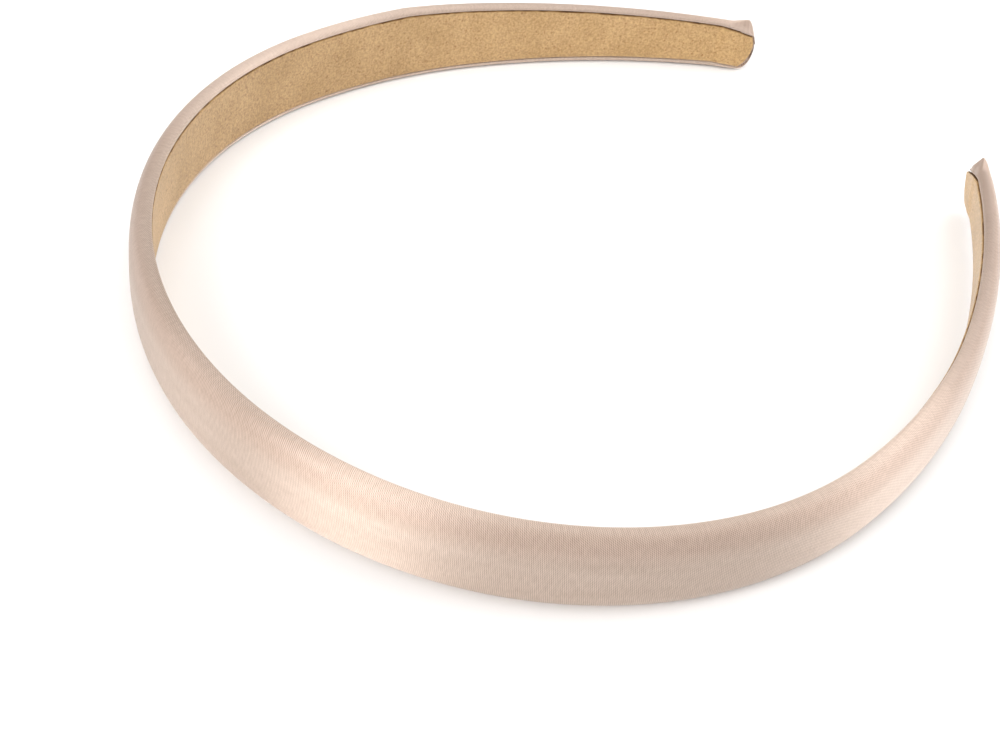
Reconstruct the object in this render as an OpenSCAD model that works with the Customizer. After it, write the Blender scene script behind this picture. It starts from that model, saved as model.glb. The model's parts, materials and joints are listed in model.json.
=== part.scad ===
// Satin-covered hard headband, lying on its lower edge, +Z up.
// The hoop is symmetric about X = 0, its crown points to +Y and its two tips to -Y.
// A moulded hoop is wrapped in satin, whose hems are turned in under a faux suede lining.
// Each layer is built as two halves that meet at X = 0, because the hoop bends open there.
// The plan of the band is three tangent arcs a side: crown, temple and tip.

/* [Hoop] */
// Radius of the inner face at the crown, where the head sits
seat_r = 60.5; // [58:0.5:70]
// Inner radius of the flatter arc beside the temple
temple_r = 94.5; // [75:0.5:110]
// Inner radius of the nearly straight arc behind the ear
tip_r = 144.5; // [120:0.5:200]
// Angle that the tip arc turns through
tip_angle = 22.5; // [14:0.5:26]

/* [Band] */
// Overall width of the band at the crown, satin included
band_w = 14; // [10:0.2:20]
// Overall width of the band at its tips
tip_w = 9.2; // [7:0.2:10]
// Depth below the outer face of the crown at which the band starts to narrow
taper_start = 85; // [10:1:100]
// Corner radius of the band's two ends
tip_round = 2.6; // [1:0.1:3]

/* [Layers] */
// Thickness of the faux suede lining
lining_t = 0.6; // [0.6:0.1:1.2]
// Thickness of the adhesive film that holds the lining
lining_glue_t = 0.1; // [0.05:0.05:0.2]
// Thickness of the satin
satin_t = 0.25; // [0.15:0.05:0.4]
// Thickness of the adhesive film under the satin
satin_glue_t = 0.1; // [0.05:0.05:0.2]
// Thickness of the moulded hoop
core_t = 2.1; // [1.4:0.1:2.6]
// Width of satin left showing on the inner face beside the lining
margin_w = 1.1; // [0.8:0.1:1.6]
// Width of the turned-in satin hem, measured from the band's edge
hem_w = 2.8; // [2:0.1:3]
// Distance from the end of the band to the end of the lining
lining_inset = 1.2; // [0.8:0.1:2]
// Length of satin folded over onto the inner face at each end
tip_fold = 7; // [4:0.5:12]

/* [Hidden] */
$fn = 240;
// Heights of the layers' faces above the lining's inner face
glue_at = lining_t;
hem_at = glue_at + lining_glue_t;
hem_glue_at = hem_at + satin_t;
core_at = hem_glue_at + satin_glue_t;
outer_glue_at = core_at + core_t;
satin_at = outer_glue_at + satin_glue_t;
skin = satin_at + satin_t;
// Insets of the inner layers from the edges of the band
glue_inset = satin_t;
core_inset = satin_t + satin_glue_t;
// Corner radius of the gap between the hems
gap_round = 0.5;
// Headings at which one arc runs into the next, from the crown round to the tip.
// The second is 90 degrees plus the small angle of a 44-117-125 triangle, so both are exact.
crown_end = 90;
temple_end = crown_end + atan2(44, 117);
tip_end = temple_end + tip_angle;
// Outward direction at a heading, and the arc centres, with the crown's at the origin
function outward(heading) = [sin(heading), cos(heading)];
crown_centre = [0, 0];
temple_centre = crown_centre + outward(crown_end) * (seat_r - temple_r);
tip_centre = temple_centre + outward(temple_end) * (temple_r - tip_r);
tip_point = tip_centre + outward(tip_end) * (tip_r + skin);
// Shift that puts the middle of the hoop's depth at Y = 0
front_y = seat_r + skin;
shift_y = -(front_y + tip_point[1]) / 2;
taper_y = front_y - taper_start;
taper_slope = (band_w - tip_w) / (taper_y - tip_point[1]);
// How far the cutting shapes run past what they cut, and the length of a wedge's sides
past = 5;
reach = 2 * tip_r;

// Upper edge of the band at a depth y, before the shift
function top_at(y) = band_w - max(0, taper_y - y) * taper_slope;

// Plan of one arc of the band between two heights over the inner face, within a wedge
module arc_plan(centre, radius, low, high, wedge) {
    intersection() {
        translate(centre)
            difference() {
                circle(radius + high);
                circle(radius + low);
            }
        polygon(wedge);
    }
}

// The wedge between two headings as seen from an arc's centre
function wedge(centre, from, to) =
    [centre, centre + outward(from) * reach,
     centre + (outward(from) + outward(to)) * reach, centre + outward(to) * reach];

// Plan of the right half of the band, from X = start_x round to a heading on the tip arc
module band_plan(low, high, start_x, end_heading) {
    quadrant = [[start_x, 0], [reach, 0], [reach, reach], [start_x, reach]];
    arc_plan(crown_centre, seat_r, low, high, quadrant);
    arc_plan(temple_centre, temple_r, low, high, wedge(temple_centre, crown_end, temple_end));
    arc_plan(tip_centre, tip_r, low, high, wedge(tip_centre, temple_end, end_heading));
}

// The side view of the band, its edges moved in by an inset
module side_view(inset) {
    back = tip_point[1] - past;
    front = front_y + past;
    outline = [[front, inset], [back, inset], [back, top_at(back) - inset],
               [taper_y, band_w - inset], [front, band_w - inset]];
    rotate([90, 0, 90])
        translate([0, 0, -reach])
            linear_extrude(2 * reach)
                polygon(outline);
}

// What is cut off one corner of the band's end to round it; side is -1 below and 1 above
module corner_cut(end_in, edge_z, side, radius) {
    rotate([0, 0, -tip_end])
        translate([end_in - radius, 0, edge_z - side * radius])
            rotate([90, 0, 0])
                difference() {
                    translate([0, side > 0 ? 0 : -radius - past, -past])
                        cube([radius + past, radius + past, 2 * past]);
                    translate([0, 0, -2 * past])
                        cylinder(r = radius, h = 4 * past);
                }
}

// A layer of the right half between two heights, its edges and its end moved in by an inset
module layer(low, high, inset, end_inset, corner = tip_round, start_x = 0) {
    end_heading = tip_end - end_inset / tip_r * 180 / PI;
    end_z = top_at(tip_point[1]) - inset;
    difference() {
        intersection() {
            translate([0, 0, -past])
                linear_extrude(band_w + 2 * past)
                    band_plan(low, high, start_x, end_heading);
            side_view(inset);
        }
        translate([tip_point[0], tip_point[1], 0]) {
            corner_cut(-end_inset, inset, -1, corner);
            corner_cut(-end_inset, end_z, 1, corner);
        }
    }
}

// The gap between the two hems on the inner face
module hem_gap(low, high) {
    layer(low, high, hem_w, tip_fold, gap_round, -past);
}

module core_half() {
    color([0.93, 0.91, 0.87])
        layer(core_at, outer_glue_at, core_inset, core_inset, tip_round - core_inset);
}

module satin_adhesive_half() {
    color([0.86, 0.84, 0.78])
        difference() {
            layer(hem_glue_at, satin_at, glue_inset, glue_inset, tip_round - glue_inset);
            layer(core_at, outer_glue_at, core_inset, core_inset, tip_round - core_inset,
                  -past);
            hem_gap(hem_at - past, core_at + core_t / 2);
        }
}

module satin_cover_half() {
    color([0.87, 0.77, 0.71])
        difference() {
            layer(hem_at, skin, 0, 0);
            layer(hem_glue_at, satin_at, glue_inset, glue_inset, tip_round - glue_inset,
                  -past);
            hem_gap(hem_at - past, core_at + core_t / 2);
        }
}

module lining_adhesive_half() {
    color([0.80, 0.74, 0.62])
        union() {
            layer(glue_at, hem_at, margin_w, lining_inset);
            layer(glue_at, core_at, hem_w, tip_fold, gap_round);
        }
}

module lining_half() {
    color([0.79, 0.65, 0.47])
        layer(0, glue_at, margin_w, lining_inset);
}

// Places a right half in the part's frame
module right() { translate([0, shift_y, 0]) children(); }

// Places a right half as the left one
module left() { mirror([1, 0, 0]) right() children(); }

module core_left() { left() core_half(); }
module core_right() { right() core_half(); }
module satin_adhesive_left() { left() satin_adhesive_half(); }
module satin_adhesive_right() { right() satin_adhesive_half(); }
module satin_cover_left() { left() satin_cover_half(); }
module satin_cover_right() { right() satin_cover_half(); }
module lining_adhesive_left() { left() lining_adhesive_half(); }
module lining_adhesive_right() { right() lining_adhesive_half(); }
module lining_left() { left() lining_half(); }
module lining_right() { right() lining_half(); }

core_left();
core_right();
satin_adhesive_left();
satin_adhesive_right();
satin_cover_left();
satin_cover_right();
lining_adhesive_left();
lining_adhesive_right();
lining_left();
lining_right();
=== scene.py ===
"""Looks of a satin-covered hair hoop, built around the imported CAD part. Metres, +Z up."""
import json
import math

import bmesh
import bpy
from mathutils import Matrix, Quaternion, Vector, noise


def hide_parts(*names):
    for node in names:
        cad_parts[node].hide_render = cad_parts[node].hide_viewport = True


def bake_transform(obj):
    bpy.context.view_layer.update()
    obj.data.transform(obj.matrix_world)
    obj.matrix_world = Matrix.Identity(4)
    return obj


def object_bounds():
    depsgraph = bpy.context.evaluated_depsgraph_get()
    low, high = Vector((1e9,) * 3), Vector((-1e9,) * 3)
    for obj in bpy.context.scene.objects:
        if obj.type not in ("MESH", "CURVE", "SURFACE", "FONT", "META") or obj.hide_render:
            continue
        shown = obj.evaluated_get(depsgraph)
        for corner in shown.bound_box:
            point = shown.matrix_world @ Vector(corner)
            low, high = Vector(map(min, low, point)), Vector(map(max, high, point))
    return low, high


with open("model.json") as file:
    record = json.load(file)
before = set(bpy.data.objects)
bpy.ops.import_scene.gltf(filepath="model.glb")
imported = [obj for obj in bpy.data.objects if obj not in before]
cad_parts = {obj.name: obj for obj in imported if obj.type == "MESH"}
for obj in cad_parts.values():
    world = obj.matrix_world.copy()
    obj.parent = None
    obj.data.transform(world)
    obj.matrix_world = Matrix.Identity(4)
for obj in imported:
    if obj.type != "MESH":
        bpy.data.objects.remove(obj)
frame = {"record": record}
CAD_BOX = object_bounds()

MM = 0.001

# Plan of the hoop: crown, temple and tip arcs, as in the CAD
HEAD_SEAT = frame["record"]["mounts"][0]
SEAT_R = HEAD_SEAT["dims"]["r_mm"] * MM
CROWN_Y = HEAD_SEAT["pos_m"][1]
TEMPLE_R = 94.5 * MM
TIP_R = 144.5 * MM
CROWN_END = math.radians(90)
TEMPLE_END = CROWN_END + math.atan2(44, 117)
TIP_ANGLE = math.radians(22.5)
TIP_END = TEMPLE_END + TIP_ANGLE

# Width of the band, which starts to narrow TAPER_START back from the front of the crown
BAND_W = CAD_BOX[1].z
TIP_W = 9.2 * MM
TAPER_START = 85 * MM
TAPER_Y = CAD_BOX[1].y - TAPER_START
TAPER_SLOPE = (BAND_W - TIP_W) / (TAPER_Y - CAD_BOX[0].y)

# Heights of the layers' faces above the lining's inner face
GLUE_AT = 0.6 * MM
HEM_AT = 0.7 * MM
CORE_AT = 1.05 * MM
SKIN = 3.5 * MM
SATIN_T = 0.25 * MM
SATIN_GLUE_T = 0.1 * MM

# Section of the wrapped band. The satin rises within LIP_RISE beside the lining, LIP_GAP away from
# it, to a rim at RIM_H, just below the lining's inner face; the second values are the left arm's.
# The band is widest at EDGE_H, which moves out by EDGE_SHIFT times a layer's inset, and its outer
# face is a superellipse with the exponent CROWNING. The upper corner of each tip is pinched to a
# ridge at RIDGE_H, with a slope from there down to the lining. At the ends the section closes in
# on MIDDLE_H.
RIM_H = (0.1 * MM, 0.34 * MM)
EDGE_H = 0.95 * MM
EDGE_SHIFT = 1.3
RIM_IN = 0.8 * MM
LIP_GAP = (0.08 * MM, 0.2 * MM)
LIP_RISE = 0.12 * MM
LEAST_FOOT = 0.3 * MM
CROWNING = 2.8
RIDGE_H = 1.75 * MM
RIDGE_IN = 1.9 * MM
RIDGE_CROWNING = 1.65
RIDGE_LENGTH = 4.5 * MM
MIDDLE_H = 1.5 * MM

# The left arm is a little twisted: its upper edge leans in, and its tip stands off the floor
NEAR_ARM_AT = 70 * MM
NEAR_LEAN = math.radians(11)
NEAR_LIFT = 1.1 * MM
LEAN_AT = 6.5 * MM

# Ends of the band: how they are rounded and thinned, how the folded corner flares up and slants
# back, and how far the folded satin and the hems reach
END_ROUND = (3 * MM, 5 * MM)
END_RIM = 1.2 * MM
END_FLAT = 0.3
CORNER_BACK = 2.1 * MM
CORNER_DROP = 4.2 * MM
CORNER_FLARE = 0.65 * MM
CORNER_RUN = 3.5 * MM
CORNER_POWER = 1.6
TIP_FOLD = 7 * MM
FOLD_T = 0.25 * MM
FOLD_PAST = 1 * MM
FOLD_RUN = 2.5 * MM
HEM_W = 2.8 * MM
HEM_ROUND = 2 * MM

# Folds of the gathered satin: distance from the end, lean and depth of each
PLEATS = ((1.6 * MM, 1.5, 0.22 * MM), (2.9 * MM, 1.7, 0.16 * MM), (4.4 * MM, 2.0, 0.1 * MM))
PLEAT_WIDTH = 0.5 * MM
PLEAT_REACH = 1.5 * MM

# Lining. A pair of margins is for the crown and the arms, which start at ARM_AT; a pair of dips
# or ends is for the right arm's tip and the left arm's.
LINING_TOP_MARGIN = (1.2 * MM, 0.75 * MM)
LINING_LOW_MARGIN = (0.8 * MM, 1.1 * MM)
ARM_AT = (100 * MM, 150 * MM)
LINING_DIP = (1.1 * MM, 2.2 * MM)
DIP_RUN = 8 * MM
DIP_POWER = 1.2
LINING_END = (0.6 * MM, 1.1 * MM)
LINING_ROUND = 0.45 * MM
LOOSE_END = 0.15 * MM
LOOSE_LENGTH = 4 * MM
SOFT_EDGE = 0.15 * MM
FILM_INSET = 0.1 * MM
# Unevenness of its cut: height and length of the slow waves and of the small nicks
WOBBLE, WOBBLE_LENGTH = 0.06 * MM, 9 * MM
NICK, NICK_LENGTH = 0.05 * MM, 0.9 * MM
# How steeply a face of the lining has to look up to be its upper cut wall, which is painted dark
# brown as shade
SHADED_CUT_FACING = 0.6

# Spacing of the stations along the band, the lengths at its tips where they are closer, and how
# near two points have to lie to be joined
STEP = 1 * MM
WRAP_FINE_LENGTH = 9 * MM
LINING_FINE_LENGTH = 5 * MM
WELD = 0.002 * MM


def outward(heading):
    return Vector((math.sin(heading), math.cos(heading)))


def arcs():
    """(centre, radius, first heading, last heading) of the right side's three arcs."""
    crown = Vector((0, CROWN_Y))
    temple = crown + outward(CROWN_END) * (SEAT_R - TEMPLE_R)
    tip = temple + outward(TEMPLE_END) * (TEMPLE_R - TIP_R)
    return [(crown, SEAT_R, 0, CROWN_END), (temple, TEMPLE_R, CROWN_END, TEMPLE_END),
            (tip, TIP_R, TEMPLE_END, TIP_END)]


ARCS = arcs()
HALF = sum(radius * (last - first) for _, radius, first, last in ARCS)


def plan(s):
    """Centre, radius and heading at s, measured along the inner face from the crown's middle."""
    left = abs(s)
    for centre, radius, first, last in ARCS:
        if left <= radius * (last - first) or radius == TIP_R:
            return centre, radius, first + left / radius
        left -= radius * (last - first)


def near_arm(s):
    """0 on the crown and the right arm, growing to 1 at the tip of the left arm."""
    return smooth((-s - NEAR_ARM_AT) / (HALF - NEAR_ARM_AT))


def place(s, h, z):
    """The point at s along the band, h out from the lining's inner face and z up."""
    lean = NEAR_LEAN * near_arm(s)
    h, z = h - (z - LEAN_AT) * math.sin(lean), z + h * math.sin(lean) + NEAR_LIFT * near_arm(s)
    centre, radius, heading = plan(s)
    p = centre + outward(heading) * (radius + h)
    return Vector((math.copysign(1, s) * p.x, p.y, z))


def width(s):
    y = place(abs(s), SKIN / 2, 0).y
    return BAND_W - max(0, TAPER_Y - y) * TAPER_SLOPE


def smooth(t):
    t = min(max(t, 0), 1)
    return t * t * (3 - 2 * t)


def mix(a, b, t):
    return a + (b - a) * t


def stations(step, fine_step, fine_length, right_end, left_end):
    """Places along the band from tip to tip, closer together near both tips."""
    count = round(fine_length / fine_step)
    fine = [fine_length * (1 - math.sin(i / count * math.pi / 2)) for i in range(count + 1)]
    right = [HALF - right_end - d for d in fine]
    left = [left_end - HALF + d for d in reversed(fine)]
    count = round((right[0] - left[-1]) / step)
    return left + [mix(left[-1], right[0], i / count) for i in range(1, count)] + right


# ---------------------------------------------------------------- outline of the band's ends

def low_edge(d):
    """Lower edge of the band at a distance d from its end, which is rounded up."""
    t = 1 - min(1, max(0, d) / END_ROUND[0])
    return END_ROUND[1] * (1 - math.sqrt(1 - t * t))


def top_edge(s, d):
    """Upper edge of the band: the folded corner flares up, then slants back to the end."""
    top = width(s) + CORNER_FLARE * smooth(1 - (d - CORNER_BACK) / CORNER_RUN)
    return top - CORNER_DROP * (1 - min(1, max(0, d) / CORNER_BACK)) ** CORNER_POWER


def end_share(d):
    """Share of the full thickness left near the end, which is rounded over like the rims."""
    t = 1 - min(1, max(0, d) / END_RIM)
    return mix(END_FLAT, 1, math.sqrt(1 - t * t))


def from_end(s):
    return HALF - abs(s)


def fold_lift(s):
    """How far the layers of satin folded over at the tip push the inner face out."""
    return FOLD_T * smooth((TIP_FOLD + FOLD_PAST - from_end(s)) / FOLD_RUN)


# ---------------------------------------------------------------- section of the wrapped band

def side_value(s, right_and_left):
    """A measure that differs between the right arm's tip and the left arm's."""
    return right_and_left[s < 0]


def lining_line(s):
    """Where the lining's lower and upper edges run, before the unevenness of their cut."""
    d = from_end(s)
    arm = smooth((abs(s) - ARM_AT[0]) / (ARM_AT[1] - ARM_AT[0]))
    near_end = smooth(1 - d / DIP_RUN)
    low = mix(*LINING_LOW_MARGIN, arm) * (1 - 0.5 * near_end)
    dip = side_value(s, LINING_DIP) * near_end ** DIP_POWER
    top = width(s) - mix(*LINING_TOP_MARGIN, arm) - dip
    return low, top


def section_side(half, foot, rim_h, inset, hem, lift, lip, pinch):
    """Points (h, depth from the edge) of one side, from its hem round the rim to mid-width.
    foot is how far from the edge the satin starts to rise beside the lining, up to rim_h."""
    inner = HEM_AT + inset - lift
    rim = mix(inner, rim_h - lift, lip)
    edge = mix(EDGE_H + EDGE_SHIFT * inset, RIDGE_H, pinch)
    power = 2 / mix(CROWNING, RIDGE_CROWNING, pinch)
    foot = min(max(foot, LEAST_FOOT), half * 0.8)
    rim_in = min(mix(RIM_IN, RIDGE_IN, pinch), foot * mix(0.7, 0.9, pinch))
    rise = min(LIP_RISE, foot - rim_in)
    hem_in = max(foot, min(hem, half))
    points = [(inner, mix(hem_in, foot, i / 4)) for i in range(4)]
    points += [(mix(inner, rim, smooth(i / 4)), foot - rise * i / 4) for i in range(5)]
    for i in range(1, 9):
        angle = math.pi / 2 * i / 8
        out = mix(1 - math.cos(angle), i / 8, pinch)
        up = mix(math.sin(angle), i / 8, pinch)
        points.append((mix(rim, edge, out), rim_in * (1 - up)))
    for i in range(1, 25):
        angle = math.pi / 2 * i / 24
        points.append((mix(edge, SKIN - inset, math.sin(angle) ** power),
                       half * (1 - math.cos(angle) ** power)))
    return points


def wrap_ring(s, inset, hem, lip):
    """Section points (h, z) at s from the lower hem round the outside to the upper hem."""
    d = from_end(s) - inset
    low, top = low_edge(d) + inset, top_edge(s, d) - inset
    half = max(0.01 * MM, (top - low) / 2)
    lining_low, lining_top = lining_line(s)
    pinch = smooth(1 - (d - CORNER_BACK) / RIDGE_LENGTH)
    on_left_arm = min(1, 2 * near_arm(s))
    gap, rim_h = mix(*LIP_GAP, on_left_arm), mix(*RIM_H, on_left_arm)
    lower = section_side(half, lining_low - low - gap, rim_h, inset, hem, fold_lift(s), lip, 0)
    upper = section_side(half, top - lining_top - gap, rim_h, inset, hem, fold_lift(s), lip, pinch)
    ring = [(h, low + depth) for h, depth in lower]
    ring += [(h, top - depth) for h, depth in reversed(upper[:-1])]
    if d <= 0:
        return [(MIDDLE_H, (low + top) / 2)] * len(ring)
    return [(MIDDLE_H + (h - MIDDLE_H) * end_share(d), z) for h, z in ring]


def hem_width(s, inset):
    """Width of the turned-in hem; the two hems run together where the tip is folded over."""
    d = from_end(s) - TIP_FOLD
    joined = width(s)
    if d <= 0:
        return joined
    return mix(joined / 2, HEM_W, math.sin(min(1, d / HEM_ROUND) * math.pi / 2)) - inset


# ---------------------------------------------------------------- mesh building

def mesh_object(name, verts, faces, uvs=None):
    """A new object from points and faces; uvs holds one (u, v) for each point."""
    mesh = bpy.data.meshes.new(name)
    mesh.from_pydata(verts, [], faces)
    if uvs:
        layer = mesh.uv_layers.new(name="Weave")
        for loop in mesh.loops:
            layer.data[loop.index].uv = uvs[loop.vertex_index]
    for polygon in mesh.polygons:
        polygon.use_smooth = True
    piece = bpy.data.objects.new(name, mesh)
    bpy.context.scene.collection.objects.link(piece)
    return piece


def sweep(name, along, ring_at, zero, shell=False, sculpt=None):
    """A skin through the closed section ring_at(s) at every station of along, with both ends
    capped. zero is the ring point at which v is 0. The ring of a shell runs out along its
    outside and back along its inside, so its caps join the points that face each other."""
    verts, uvs, faces = [], [], []
    size = len(ring_at(along[0]))
    for s in along:
        ring = ring_at(s)
        run = [0.0]
        for a, b in zip(ring, ring[1:]):
            run.append(run[-1] + math.dist(a, b))
        for (h, z), v in zip(ring, run):
            if sculpt:
                h, z = sculpt(s, h, z)
            verts.append(place(s, h, z))
            uvs.append((s, v - run[zero]))
    for i in range(len(along) - 1):
        for j in range(size):
            k = (j + 1) % size
            faces.append((i * size + j, i * size + k, (i + 1) * size + k, (i + 1) * size + j))
    for first in (0, (len(along) - 1) * size):
        if shell:
            faces += [(first + j, first + j + 1, first + size - 2 - j, first + size - 1 - j)
                      for j in range(size // 2 - 1)]
        else:
            faces.append(tuple(range(first, first + size)))
    return mesh_object(name, verts, faces, uvs)


def is_inner_wall(face):
    """Whether a face only divides the inside of a closed shape."""
    crowded = sum(len(edge.link_faces) > 2 for edge in face.edges)
    return crowded > 1 or (crowded == 1 and any(edge.is_boundary for edge in face.edges))


def weld(piece):
    """Joins points that lie together, takes out the walls left inside where the two hems meet,
    closes the gap where they part, and turns every face outward."""
    shape = bmesh.new()
    shape.from_mesh(piece.data)
    bmesh.ops.remove_doubles(shape, verts=shape.verts, dist=WELD)
    bmesh.ops.dissolve_degenerate(shape, edges=shape.edges, dist=WELD)
    for _ in range(2):
        inside = [face for face in shape.faces if is_inner_wall(face)]
        bmesh.ops.delete(shape, geom=inside, context="FACES")
    loose = [edge for edge in shape.edges if not edge.link_faces]
    bmesh.ops.delete(shape, geom=loose, context="EDGES")
    gaps = [edge for edge in shape.edges if edge.is_boundary]
    bmesh.ops.holes_fill(shape, edges=gaps, sides=4)
    bmesh.ops.recalc_face_normals(shape, faces=shape.faces)
    shape.to_mesh(piece.data)
    shape.free()


# ---------------------------------------------------------------- pieces

def pleats(s, h, z):
    """Folds of the gathered satin beside the upper corner of each tip."""
    d, below = from_end(s), top_edge(s, from_end(s)) - z
    if d > TIP_FOLD or h > EDGE_H:
        return h, z
    fold = 0.0
    for start, lean, depth in PLEATS:
        across = (d - start - below * lean) / PLEAT_WIDTH
        fold += depth * math.exp(-across * across)
    near = smooth(1 - (below - PLEAT_REACH) / PLEAT_REACH)
    return h + fold * near, z


def shell_ring(s, inset, thickness, lip):
    """Section of a layer of the wrap: its outside, then back along its inside."""
    hem = hem_width(s, inset)
    outside = wrap_ring(s, inset, hem, lip)
    inside = wrap_ring(s, inset + thickness, hem, 0)
    return outside + inside[::-1]


def satin_cover():
    def ring(s):
        return shell_ring(s, 0, SATIN_T, 1)

    along = stations(STEP, 0.15 * MM, WRAP_FINE_LENGTH, 0, 0)
    piece = sweep("satin_cover", along, ring, len(ring(0)) // 4, shell=True, sculpt=pleats)
    weld(piece)
    return piece


def satin_adhesive():
    def ring(s):
        return shell_ring(s, SATIN_T, SATIN_GLUE_T, 0)

    along = stations(STEP, 0.2 * MM, WRAP_FINE_LENGTH, SATIN_T, SATIN_T)
    piece = sweep("satin_adhesive", along, ring, len(ring(0)) // 4, shell=True)
    weld(piece)
    return piece


def core():
    inset = SATIN_T + SATIN_GLUE_T

    def ring(s):
        return wrap_ring(s, inset, BAND_W, 0)

    along = stations(STEP, 0.2 * MM, WRAP_FINE_LENGTH, inset, inset)
    piece = sweep("core", along, ring, len(ring(0)) // 2)
    weld(piece)
    return piece


def lining_edges(s):
    """Lower and upper cut edge of the lining: hand cut, so slightly uneven, with a round end."""
    wobble = WOBBLE * noise.noise(Vector((s / WOBBLE_LENGTH, 3.7, 0)))
    nick = NICK * noise.noise(Vector((s / NICK_LENGTH, 8.1, 0)))
    end = side_value(s, LINING_END)
    d = from_end(s)
    low, top = lining_line(s)
    low = max(low - wobble + nick * 0.5, low_edge(d - end) + LINING_ROUND)
    top = min(top + wobble + nick, top_edge(s, d - end * 0.5) - LINING_ROUND)
    return low, max(top, low + 0.1 * MM)


def lining_lift(s):
    """The lining rides up over the folded satin, and its end stands a little off on the left."""
    loose = LOOSE_END * smooth(1 - from_end(s) / LOOSE_LENGTH) if s < 0 else 0
    return fold_lift(s) + loose


def lining_ring(s):
    """Section of the lining: a thin slab with slightly rounded edges on its inner face."""
    low, top = lining_edges(s)
    lift = lining_lift(s)
    soft = min(SOFT_EDGE, (top - low) / 4)
    wall = [(GLUE_AT, low), (GLUE_AT * 0.5, low), (soft, low + 0.02 * MM),
            (0.04 * MM, low + soft)]
    face = [(0.0, mix(low + soft, top - soft, t)) for t in (0.02, 0.05, 0.1, 0.2, 0.3, 0.4, 0.5)]
    ring = wall + face
    ring += [(h, low + top - z) for h, z in reversed(ring[:-1])]
    return [(h - lift, z) for h, z in ring]


def lining():
    along = stations(0.4 * MM, 0.15 * MM, LINING_FINE_LENGTH, *LINING_END)
    piece = sweep("lining", along, lining_ring, len(lining_ring(0)) // 2)
    weld(piece)
    return piece


def mark_painted_cut_edge_shade(piece, slot):
    """Gives the lining's upper cut wall its own material, a dark brown that paints the shade of
    the cut edge.
    """
    for polygon in piece.data.polygons:
        if polygon.normal.z > SHADED_CUT_FACING:
            polygon.material_index = slot


def lining_adhesive():
    def ring(s):
        low, top = lining_edges(s)
        hem = min(hem_width(s, 0), width(s) / 2 - 0.05 * MM)
        lift = lining_lift(s)
        hem_low, hem_top = hem, width(s) - hem
        film_low, film_top = low + FILM_INSET, top - FILM_INSET
        points = [(GLUE_AT, film_low), (HEM_AT, film_low), (HEM_AT, hem_low),
                  (CORE_AT, hem_low), (CORE_AT, hem_top), (HEM_AT, hem_top),
                  (HEM_AT, film_top), (GLUE_AT, film_top)]
        return [(h - lift, z) for h, z in points]

    ends = [end + FILM_INSET for end in LINING_END]
    piece = sweep("lining_adhesive", stations(STEP, 0.3 * MM, LINING_FINE_LENGTH, *ends), ring, 0)
    weld(piece)
    return piece


# ---------------------------------------------------------------- materials

def material(name):
    made = bpy.data.materials.new(name)
    made.use_nodes = True
    tree = made.node_tree
    return made, tree, tree.nodes["Principled BSDF"]


def node(tree, kind, inputs=(), **settings):
    made = tree.nodes.new(kind)
    for key, value in settings.items():
        setattr(made, key, value)
    for key, value in dict(inputs).items():
        if isinstance(value, bpy.types.NodeSocket):
            tree.links.new(value, made.inputs[key])
        else:
            made.inputs[key].default_value = value
    return made


def ramp(tree, factor, stops):
    made = node(tree, "ShaderNodeValToRGB", {"Fac": factor})
    while len(made.color_ramp.elements) < len(stops):
        made.color_ramp.elements.new(0.5)
    for element, (position, colour) in zip(made.color_ramp.elements, stops):
        element.position = position
        element.color = (*colour, 1)
    return made.outputs["Color"]


RIB_PITCH, TWILL_PITCH = 0.26 * MM, 0.24 * MM


def multiply(tree, first, second):
    """Product of two colours."""
    return node(tree, "ShaderNodeMix", {"Factor": 1.0, 6: first, 7: second},
                data_type="RGBA", blend_type="MULTIPLY").outputs[2]


def stretched_noise(tree, uv, scale, detail):
    """Noise with its own scale along and across the band."""
    mapped = node(tree, "ShaderNodeMapping", {"Vector": uv, "Scale": (*scale, 1)}).outputs[0]
    return node(tree, "ShaderNodeTexNoise", {"Vector": mapped, "Scale": 1,
                                             "Detail": detail}).outputs["Fac"]


def wave(tree, uv, turn, direction, pitch):
    """Slightly uneven lines of a given pitch, turned by an angle from the band's own axes."""
    turned = node(tree, "ShaderNodeMapping", {"Vector": uv, "Rotation": (0, 0, turn)}).outputs[0]
    return node(tree, "ShaderNodeTexWave", {
        "Vector": turned, "Scale": math.pi / 10 / pitch, "Distortion": 1.2, "Detail": 2,
        "Detail Scale": 1.5}, wave_type="BANDS", bands_direction=direction,
        wave_profile="SIN").outputs["Fac"]


def painted_rim_light_and_shade(tree, uv):
    """Painted light across the band: a pale painted highlight along the lower rim, a lighter
    painted strip along the upper rim, and below the upper one a pinker, darker painted shade on
    the shoulder.
    """
    across = node(tree, "ShaderNodeSeparateXYZ", {"Vector": uv}).outputs["Y"]
    share = node(tree, "ShaderNodeMapRange", {"Value": across, "From Min": -10 * MM,
                                              "From Max": 10 * MM}).outputs[0]
    return ramp(tree, share, [(0.1, (1.25, 1.28, 1.3)), (0.2, (1, 1, 1)), (0.6, (1, 1, 1)),
                              (0.74, (0.95, 0.9, 0.88)), (0.84, (0.99, 0.95, 0.94)),
                              (0.92, (1.06, 1.05, 1.05))])


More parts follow.
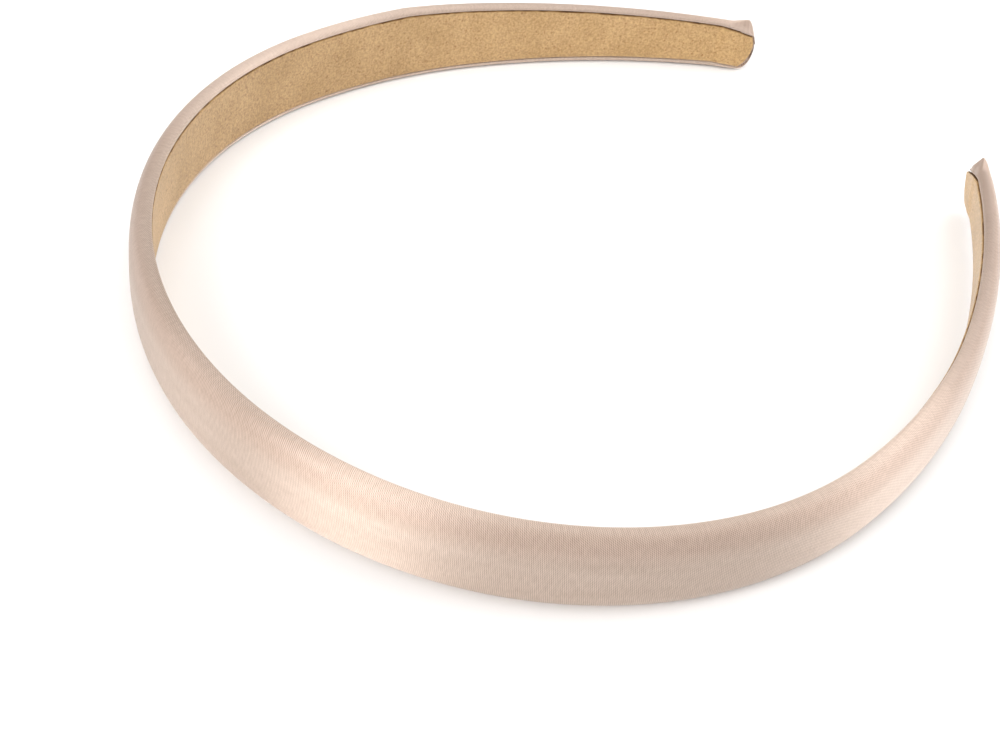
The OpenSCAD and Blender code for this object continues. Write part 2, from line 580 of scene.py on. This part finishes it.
def satin_material():
    made, tree, shader = material("satin_champagne")
    uv = node(tree, "ShaderNodeUVMap", uv_map="Weave").outputs["UV"]
    ribs = wave(tree, uv, 0.16, "X", RIB_PITCH)
    twill = wave(tree, uv, -0.65, "Y", TWILL_PITCH)
    slub = stretched_noise(tree, uv, (2600, 700), 3)
    cloud = stretched_noise(tree, uv, (45, 420), 2)
    tone = ramp(tree, cloud, [(0.3, (0.615, 0.485, 0.395)), (0.7, (0.665, 0.535, 0.445))])
    threads = node(tree, "ShaderNodeMix", {"Factor": 0.48, "A": ribs, "B": twill},
                   data_type="FLOAT")
    weave = node(tree, "ShaderNodeMix", {"Factor": 0.35, "A": threads.outputs[0], "B": slub},
                 data_type="FLOAT")
    shade = ramp(tree, weave.outputs[0], [(0.2, (0.65, 0.59, 0.55)), (0.8, (1.16, 1.18, 1.2))])
    # The weave's colour times the painted rim highlights and the painted shoulder shade
    colour = multiply(tree, multiply(tree, tone, shade), painted_rim_light_and_shade(tree, uv))
    tree.links.new(colour, shader.inputs["Base Color"])
    shine = node(tree, "ShaderNodeMapRange", {"Value": weave.outputs[0], "To Min": 0.6,
                                              "To Max": 0.5}).outputs[0]
    tree.links.new(shine, shader.inputs["Roughness"])
    bump = node(tree, "ShaderNodeBump", {"Height": weave.outputs[0], "Strength": 0.35,
                                         "Distance": 0.06 * MM}).outputs[0]
    tree.links.new(bump, shader.inputs["Normal"])
    shader.inputs["Anisotropic"].default_value = 1.0
    shader.inputs["Anisotropic Rotation"].default_value = 0.25
    shader.inputs["Metallic"].default_value = 0.45
    shader.inputs["Coat Weight"].default_value = 0.3
    shader.inputs["Coat Roughness"].default_value = 0.3
    shader.inputs["Sheen Weight"].default_value = 0.1
    shader.inputs["Sheen Roughness"].default_value = 0.35
    shader.inputs["Specular IOR Level"].default_value = 1.0
    return made


def suede_material():
    made, tree, shader = material("faux_suede_tan")
    place_at = node(tree, "ShaderNodeNewGeometry").outputs["Position"]
    nap = node(tree, "ShaderNodeTexNoise", {"Vector": place_at, "Scale": 2300, "Detail": 5,
                                            "Roughness": 0.7}).outputs["Fac"]
    specks = node(tree, "ShaderNodeTexNoise", {"Vector": place_at, "Scale": 1900,
                                               "Detail": 2}).outputs["Fac"]
    patches = node(tree, "ShaderNodeTexNoise", {"Vector": place_at, "Scale": 130,
                                                "Detail": 3}).outputs["Fac"]
    tone = ramp(tree, patches, [(0.3, (0.46, 0.292, 0.12)), (0.7, (0.55, 0.362, 0.17))])
    grain = ramp(tree, nap, [(0.32, (0.63, 0.55, 0.44)), (0.62, (1.1, 1.08, 1.04))])
    dark = ramp(tree, specks, [(0.28, (0.68, 0.56, 0.44)), (0.4, (1, 1, 1))])
    colour = multiply(tree, multiply(tree, tone, grain), dark)
    tree.links.new(colour, shader.inputs["Base Color"])
    bump = node(tree, "ShaderNodeBump", {"Height": nap, "Strength": 0.6,
                                         "Distance": 0.15 * MM}).outputs[0]
    tree.links.new(bump, shader.inputs["Normal"])
    shader.inputs["Roughness"].default_value = 0.95
    shader.inputs["Sheen Weight"].default_value = 0.35
    shader.inputs["Sheen Roughness"].default_value = 0.6
    shader.inputs["Specular IOR Level"].default_value = 0.2
    return made


def cut_edge_shade_material():
    """Painted shade for the lining's cut edge: a mottled dark brown."""
    made, tree, shader = material("faux_suede_cut_edge_painted_shade")
    place_at = node(tree, "ShaderNodeNewGeometry").outputs["Position"]
    edge_mottle = node(tree, "ShaderNodeTexNoise", {"Vector": place_at, "Scale": 500,
                                             "Detail": 3}).outputs["Fac"]
    tone = ramp(tree, edge_mottle, [(0.35, (0.13, 0.06, 0.02)), (0.7, (0.4, 0.25, 0.11))])
    tree.links.new(tone, shader.inputs["Base Color"])
    shader.inputs["Roughness"].default_value = 0.8
    shader.inputs["Specular IOR Level"].default_value = 0.3
    return made


def milky_material(name, light, dark, roughness):
    """A plastic or glue with faint clouds in it."""
    made, tree, shader = material(name)
    place_at = node(tree, "ShaderNodeNewGeometry").outputs["Position"]
    clouds = node(tree, "ShaderNodeTexNoise", {"Vector": place_at, "Scale": 90,
                                               "Detail": 3}).outputs["Fac"]
    tree.links.new(ramp(tree, clouds, [(0.3, dark), (0.7, light)]), shader.inputs["Base Color"])
    grain = node(tree, "ShaderNodeTexNoise", {"Vector": place_at, "Scale": 900}).outputs["Fac"]
    bump = node(tree, "ShaderNodeBump", {"Height": grain, "Strength": 0.2,
                                         "Distance": 0.05 * MM}).outputs[0]
    tree.links.new(bump, shader.inputs["Normal"])
    shader.inputs["Roughness"].default_value = roughness
    return made


# ---------------------------------------------------------------- surroundings

def floor():
    size, drop = 3.0, 0.2 * MM
    corners = [(-size, -size), (size, -size), (size, size), (-size, size)]
    piece = mesh_object("floor", [(x, y, -drop) for x, y in corners], [(0, 1, 2, 3)])
    made, _, shader = material("pale_floor")
    shader.inputs["Base Color"].default_value = (0.93, 0.93, 0.93, 1)
    shader.inputs["Roughness"].default_value = 0.9
    shader.inputs["Specular IOR Level"].default_value = 0.1
    piece.data.materials.append(made)


def area_light(name, azimuth, elevation, distance, width_and_height, watts):
    """A soft box that looks at the middle of the hoop."""
    light = bpy.data.lights.new(name, "AREA")
    light.shape = "RECTANGLE"
    light.size, light.size_y = width_and_height
    light.energy = watts
    lamp = bpy.data.objects.new(name, light)
    a, e = math.radians(azimuth), math.radians(elevation)
    back = Vector((math.sin(a) * math.cos(e), -math.cos(a) * math.cos(e), math.sin(e)))
    lamp.location = back * distance
    lamp.rotation_euler = (-back).to_track_quat("-Z", "Y").to_euler()
    bpy.context.scene.collection.objects.link(lamp)


def lights():
    world = bpy.data.worlds.new("studio")
    world.use_nodes = True
    world.node_tree.nodes["Background"].inputs["Color"].default_value = (1, 1, 1, 1)
    world.node_tree.nodes["Background"].inputs["Strength"].default_value = 0.31
    bpy.context.scene.world = world
    area_light("overhead_soft", 40, 80, 1.0, (0.9, 0.9), 4.6)
    area_light("back_soft", -8, 38, 1.0, (0.9, 0.7), 4.4)
    area_light("front_left_strip", -175, 28, 1.0, (0.6, 0.9), 9.4)
    area_light("left_soft", -225, 30, 1.0, (0.5, 0.5), 1.3)
    area_light("right_strip", -42, 26, 1.0, (0.45, 0.8), 3.5)


# The camera looks at AIM from AZIMUTH and ELEVATION, and is rolled about its own line of sight
AIM = Vector((-13.74, 33.4, 7.0)) * MM
AZIMUTH, ELEVATION, ROLL = math.radians(-140.569), math.radians(42.61), math.radians(10.691)
DISTANCE = 230 * MM
LENS_MM = 57.6
SENSOR_MM = 36


def camera():
    back = Vector((math.sin(AZIMUTH) * math.cos(ELEVATION),
                   -math.cos(AZIMUTH) * math.cos(ELEVATION), math.sin(ELEVATION)))
    data = bpy.data.cameras.new("camera")
    data.lens = LENS_MM
    data.sensor_width = SENSOR_MM
    data.clip_start = 0.01
    data.clip_end = 20
    made = bpy.data.objects.new("camera", data)
    made.location = AIM + back * DISTANCE
    made.rotation_mode = "QUATERNION"
    made.rotation_quaternion = (-back).to_track_quat("-Z", "Y") @ Quaternion((0, 0, 1), ROLL)
    bpy.context.scene.collection.objects.link(made)
    bpy.context.scene.camera = made


# ---------------------------------------------------------------- assembly


def dress(piece, look):
    """Gives a piece its material, bakes its placement into its mesh, and lets it stand for its two
    CAD halves.
    """
    piece.data.materials.append(look)
    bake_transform(piece)
    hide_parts(piece.name + "_left", piece.name + "_right")
    return piece


camera()
floor()
lights()
satin = dress(satin_cover(), satin_material())
suede = dress(lining(), suede_material())
plastic = milky_material("core_plastic_milky", (0.86, 0.83, 0.76), (0.78, 0.75, 0.68), 0.45)
film = milky_material("adhesive_film_milky", (0.74, 0.68, 0.54), (0.62, 0.56, 0.42), 0.35)
# The lining's upper cut wall gets a second material, a dark brown painted shade
suede.data.materials.append(cut_edge_shade_material())
mark_painted_cut_edge_shade(suede, 1)
dress(core(), plastic)
dress(satin_adhesive(), film)
dress(lining_adhesive(), film)

bpy.context.scene.view_settings.view_transform = "Standard"
